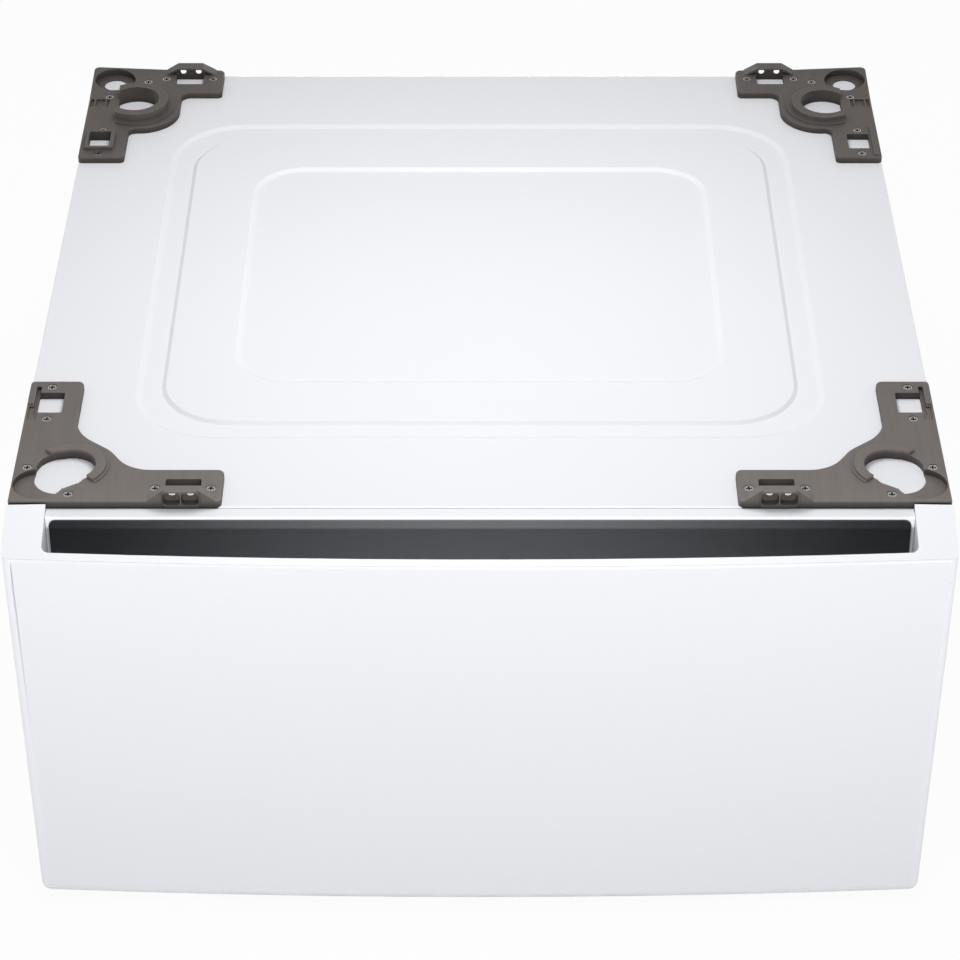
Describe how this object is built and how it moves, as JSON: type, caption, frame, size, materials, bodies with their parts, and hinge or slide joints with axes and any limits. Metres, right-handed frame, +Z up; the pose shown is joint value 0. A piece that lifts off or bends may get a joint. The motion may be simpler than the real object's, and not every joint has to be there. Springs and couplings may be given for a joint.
{
  "type": "laundry pedestal",
  "caption": "Low white steel pedestal with a bowed full-width drawer front, recessed finger pocket and corner brackets that seat a washer's or dryer's feet.",
  "frame": {"origin": "on the floor under the middle of the whole pedestal", "axes": "+X to the viewer's right, +Y from the drawer front to the back, +Z up"},
  "size_m": [0.694, 0.721, 0.361],
  "materials": {
    "white_steel": "smooth gloss white enamel",
    "white_plastic": "gloss white moulding",
    "taupe_plastic": "fine-grained taupe grey moulding",
    "dark_trim": "dark grey satin gloss",
    "galvanised": "galvanised sheet",
    "slide_steel": "zinc plated",
    "ball_steel": "polished balls in plated strips",
    "screw_steel": "bright zinc",
    "lever_plastic": "black nylon",
    "rubber": "matt black rubber"
  },
  "bodies": {
    "cabinet": {"bracket_screws": "screw_steel", "drawer_bumpers": "rubber", "foot_lock_nuts": "screw_steel", "foot_weld_nuts": "screw_steel", "front_base_rail": "galvanised", "front_left_bracket": "taupe_plastic", "front_right_bracket": "taupe_plastic", "front_top_rail": "galvanised", "left_base_rail": "galvanised", "left_front_post": "galvanised", "left_rear_post": "galvanised", "left_side_panel": "white_steel", "left_slide_cabinet_member": "slide_steel", "left_slide_support": "galvanised", "left_top_stiffener": "galvanised", "rear_base_rail": "galvanised", "rear_left_bracket": "taupe_plastic", "rear_panel": "white_steel", "rear_panel_screws": "screw_steel", "rear_right_bracket": "taupe_plastic", "rear_top_rail": "galvanised", "right_base_rail": "galvanised", "right_front_post": "galvanised", "right_rear_post": "galvanised", "right_side_panel": "white_steel", "right_slide_cabinet_member": "slide_steel", "right_slide_support": "galvanised", "right_top_stiffener": "galvanised", "slide_support_screws": "screw_steel", "top_panel": "white_steel"},
    "drawer": {"drawer_floor": "white_steel", "drawer_front_liner": "white_plastic", "drawer_front_panel": "white_plastic", "drawer_front_screws": "screw_steel", "drawer_front_wall": "white_steel", "drawer_rear_wall": "white_steel", "drawer_slide_screws": "screw_steel", "handle_trim": "dark_trim", "left_drawer_wall": "white_steel", "left_slide_drawer_member": "slide_steel", "right_drawer_wall": "white_steel", "right_slide_drawer_member": "slide_steel"},
    "front_left_foot": {"front_left_foot_pad": "rubber", "front_left_foot_stud": "screw_steel"},
    "front_right_foot": {"front_right_foot_pad": "rubber", "front_right_foot_stud": "screw_steel"},
    "left_inner_ball_cage": {"left_inner_ball_cage": "ball_steel"},
    "left_outer_ball_cage": {"left_outer_ball_cage": "ball_steel"},
    "left_release_lever": {"left_release_lever": "lever_plastic"},
    "left_slide_middle_member": {"left_slide_middle_member": "slide_steel"},
    "rear_left_foot": {"rear_left_foot_pad": "rubber", "rear_left_foot_stud": "screw_steel"},
    "rear_right_foot": {"rear_right_foot_pad": "rubber", "rear_right_foot_stud": "screw_steel"},
    "right_inner_ball_cage": {"right_inner_ball_cage": "ball_steel"},
    "right_outer_ball_cage": {"right_outer_ball_cage": "ball_steel"},
    "right_release_lever": {"right_release_lever": "lever_plastic"},
    "right_slide_middle_member": {"right_slide_middle_member": "slide_steel"}
  },
  "joints": [
    {"name": "drawer_slide", "type": "slide", "parent": "cabinet", "child": "drawer", "axis": [0, -1, 0], "range_m": [0, 0.44]},
    {"name": "left_slide_middle_member_slide", "type": "slide", "parent": "cabinet", "child": "left_slide_middle_member", "axis": [0, -1, 0], "range_m": [0, 0.22]},
    {"name": "left_outer_ball_cage_slide", "type": "slide", "parent": "cabinet", "child": "left_outer_ball_cage", "axis": [0, -1, 0], "range_m": [0, 0.11]},
    {"name": "left_inner_ball_cage_slide", "type": "slide", "parent": "cabinet", "child": "left_inner_ball_cage", "axis": [0, -1, 0], "range_m": [0, 0.33]},
    {"name": "left_release_lever_tilt", "type": "hinge", "parent": "drawer", "child": "left_release_lever", "pos_m": [-0.30125, 0.0915, 0.16], "axis": [1, 0, 0], "range_deg": [-6, 6]},
    {"name": "right_slide_middle_member_slide", "type": "slide", "parent": "cabinet", "child": "right_slide_middle_member", "axis": [0, -1, 0], "range_m": [0, 0.22]},
    {"name": "right_outer_ball_cage_slide", "type": "slide", "parent": "cabinet", "child": "right_outer_ball_cage", "axis": [0, -1, 0], "range_m": [0, 0.11]},
    {"name": "right_inner_ball_cage_slide", "type": "slide", "parent": "cabinet", "child": "right_inner_ball_cage", "axis": [0, -1, 0], "range_m": [0, 0.33]},
    {"name": "right_release_lever_tilt", "type": "hinge", "parent": "drawer", "child": "right_release_lever", "pos_m": [0.30125, 0.0915, 0.16], "axis": [1, 0, 0], "range_deg": [-6, 6]},
    {"name": "front_left_foot_drop", "type": "slide", "parent": "cabinet", "child": "front_left_foot", "axis": [0, 0, -1], "range_m": [0, 0.02]},
    {"name": "front_right_foot_drop", "type": "slide", "parent": "cabinet", "child": "front_right_foot", "axis": [0, 0, -1], "range_m": [0, 0.02]},
    {"name": "rear_left_foot_drop", "type": "slide", "parent": "cabinet", "child": "rear_left_foot", "axis": [0, 0, -1], "range_m": [0, 0.02]},
    {"name": "rear_right_foot_drop", "type": "slide", "parent": "cabinet", "child": "rear_right_foot", "axis": [0, 0, -1], "range_m": [0, 0.02]}
  ],
  "couplings": [
    {"joint": "left_slide_middle_member_slide", "follows": "drawer_slide", "ratio": 0.5},
    {"joint": "left_outer_ball_cage_slide", "follows": "drawer_slide", "ratio": 0.25},
    {"joint": "left_inner_ball_cage_slide", "follows": "drawer_slide", "ratio": 0.75},
    {"joint": "right_slide_middle_member_slide", "follows": "drawer_slide", "ratio": 0.5},
    {"joint": "right_outer_ball_cage_slide", "follows": "drawer_slide", "ratio": 0.25},
    {"joint": "right_inner_ball_cage_slide", "follows": "drawer_slide", "ratio": 0.75}
  ]
}
